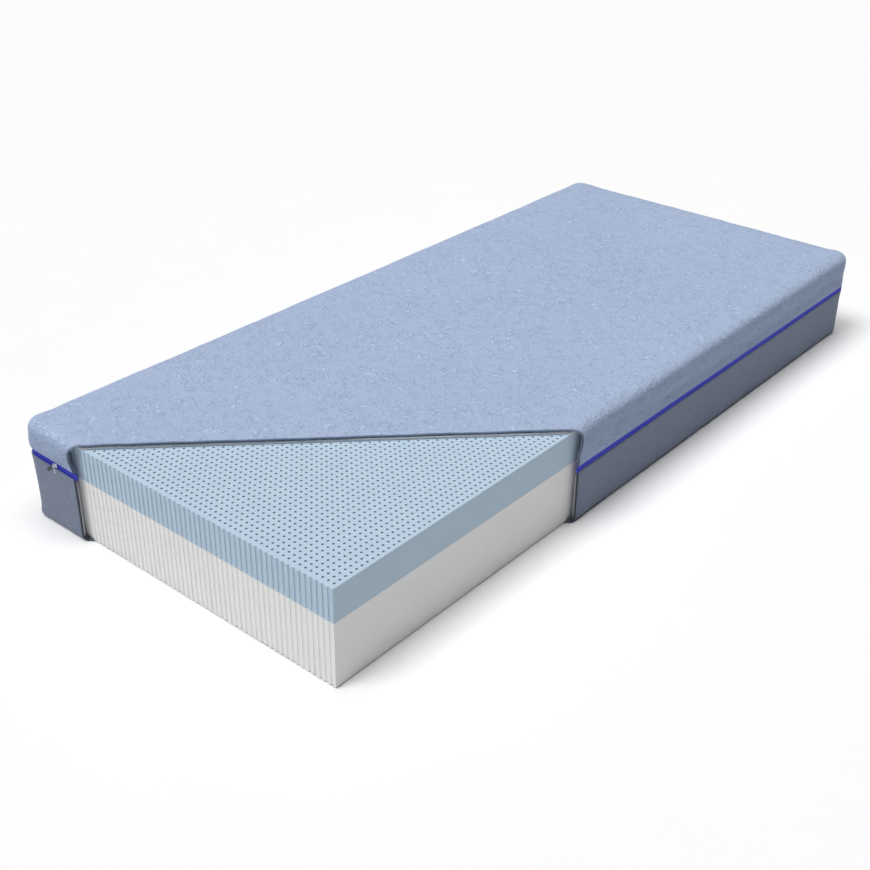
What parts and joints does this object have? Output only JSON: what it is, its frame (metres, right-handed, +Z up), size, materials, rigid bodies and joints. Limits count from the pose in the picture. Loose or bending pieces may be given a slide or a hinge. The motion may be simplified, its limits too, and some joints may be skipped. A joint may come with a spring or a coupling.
{
  "type": "memory foam mattress",
  "caption": "Rectangular foam mattress in a zipped two-part cover, cut away at one corner to show a perforated blue foam layer on a white foam core.",
  "frame": {"origin": "centre of the underside, on the bed base", "axes": "+Z up; +Y along the length from the foot end to the head end; +X across the width; the cut-away corner is at +X, -Y"},
  "size_m": [0.9, 2, 0.228],
  "materials": {
    "knit_blue": "matt padded knit with a raised crinkle pattern",
    "woven_grey": "matt close-woven polyester",
    "felt_lining": "matt needled felt",
    "fibre_fill": "matt lofty polyester fibre",
    "binding_navy": "matt woven tape",
    "zip_tape_blue": "satin woven tape",
    "zip_coil_blue": "satin nylon coil",
    "white_foam": "matt open-cell foam",
    "blue_foam": "matt open-cell foam",
    "glue": "translucent film",
    "slider_metal": "plated",
    "pull_metal": "dark plated",
    "ribbon_grey": "matt woven ribbon"
  },
  "bodies": {
    "lower_cover": {"bottom_panel": "woven_grey", "lower_face": "woven_grey", "lower_lining": "felt_lining", "lower_binding": "binding_navy", "lower_zip_tape": "zip_tape_blue", "lower_zip_coil": "zip_coil_blue"},
    "foam": {"foam_core": "white_foam", "glue_film": "glue", "memory_foam": "blue_foam"},
    "upper_cover": {"upper_face": "knit_blue", "upper_fill": "fibre_fill", "upper_backing": "felt_lining", "upper_binding": "binding_navy", "top_pad": "fibre_fill", "upper_zip_tape": "zip_tape_blue", "upper_zip_coil": "zip_coil_blue"},
    "slider": {"zip_slider_body": "slider_metal", "zip_slider_bridge": "slider_metal", "zip_ribbon": "ribbon_grey"},
    "pull": {"zip_pull": "pull_metal"}
  },
  "joints": [
    {"name": "foam_lift", "type": "slide", "parent": "lower_cover", "child": "foam", "axis": [0, 0, 1], "range_m": [0, 0.2]},
    {"name": "cover_lift", "type": "slide", "parent": "foam", "child": "upper_cover", "axis": [0, 0, 1], "range_m": [0, 0.15]},
    {"name": "zip_travel", "type": "slide", "parent": "lower_cover", "child": "slider", "axis": [0.9995, 0, -0.0311], "range_m": [-0.055, 0.045]},
    {"name": "pull_swing", "type": "hinge", "parent": "slider", "child": "pull", "pos_m": [-0.34533, -0.9977, 0.15474], "axis": [0, -1, 0], "range_deg": [-40, 92]}
  ]
}
